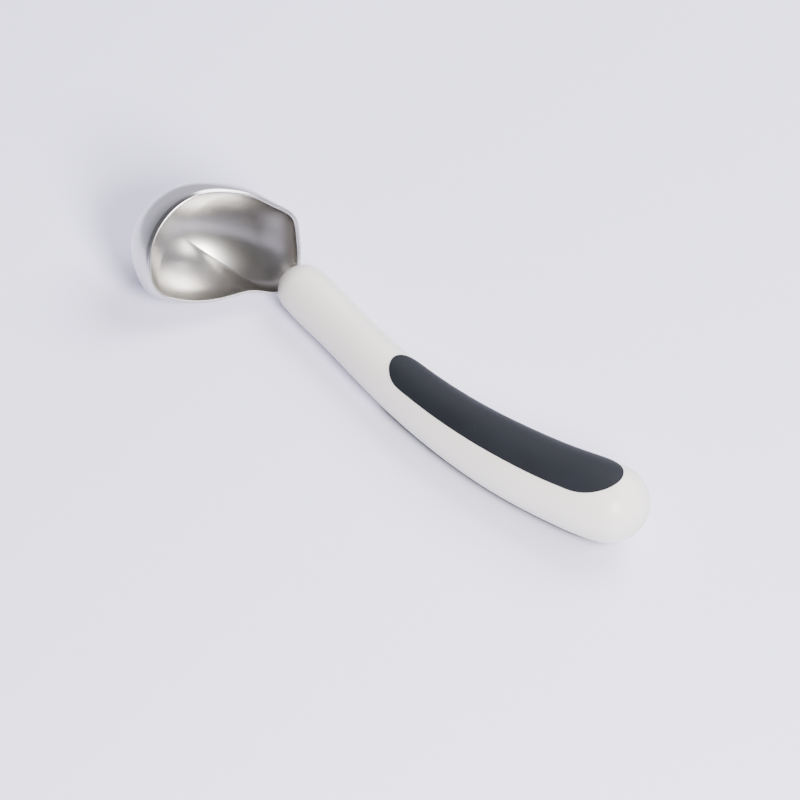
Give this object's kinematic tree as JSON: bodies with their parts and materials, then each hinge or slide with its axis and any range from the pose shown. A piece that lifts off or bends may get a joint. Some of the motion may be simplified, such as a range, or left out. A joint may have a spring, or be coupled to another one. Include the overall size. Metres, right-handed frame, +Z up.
{
  "type": "angled scooping spoon",
  "caption": "Scooping spoon: deep pressed steel bowl set sideways and tipped on a thick curved handle with two soft grip pads.",
  "frame": {"origin": "centre of the bounding box on the surface the spoon lies on", "axes": "+X from the bowl towards the handle's tail, +Y to the side the handle bends to, +Z up as the spoon lies on a table"},
  "size_m": [0.1902, 0.084, 0.0427],
  "materials": {
    "steel": "polished stainless steel",
    "handle": "satin warm white plastic",
    "grip": "soft matte charcoal elastomer"
  },
  "bodies": {
    "root": {"bowl": "steel", "shank": "steel", "handle_body": "handle", "grip_upper": "grip", "grip_lower": "grip"}
  },
  "joints": []
}
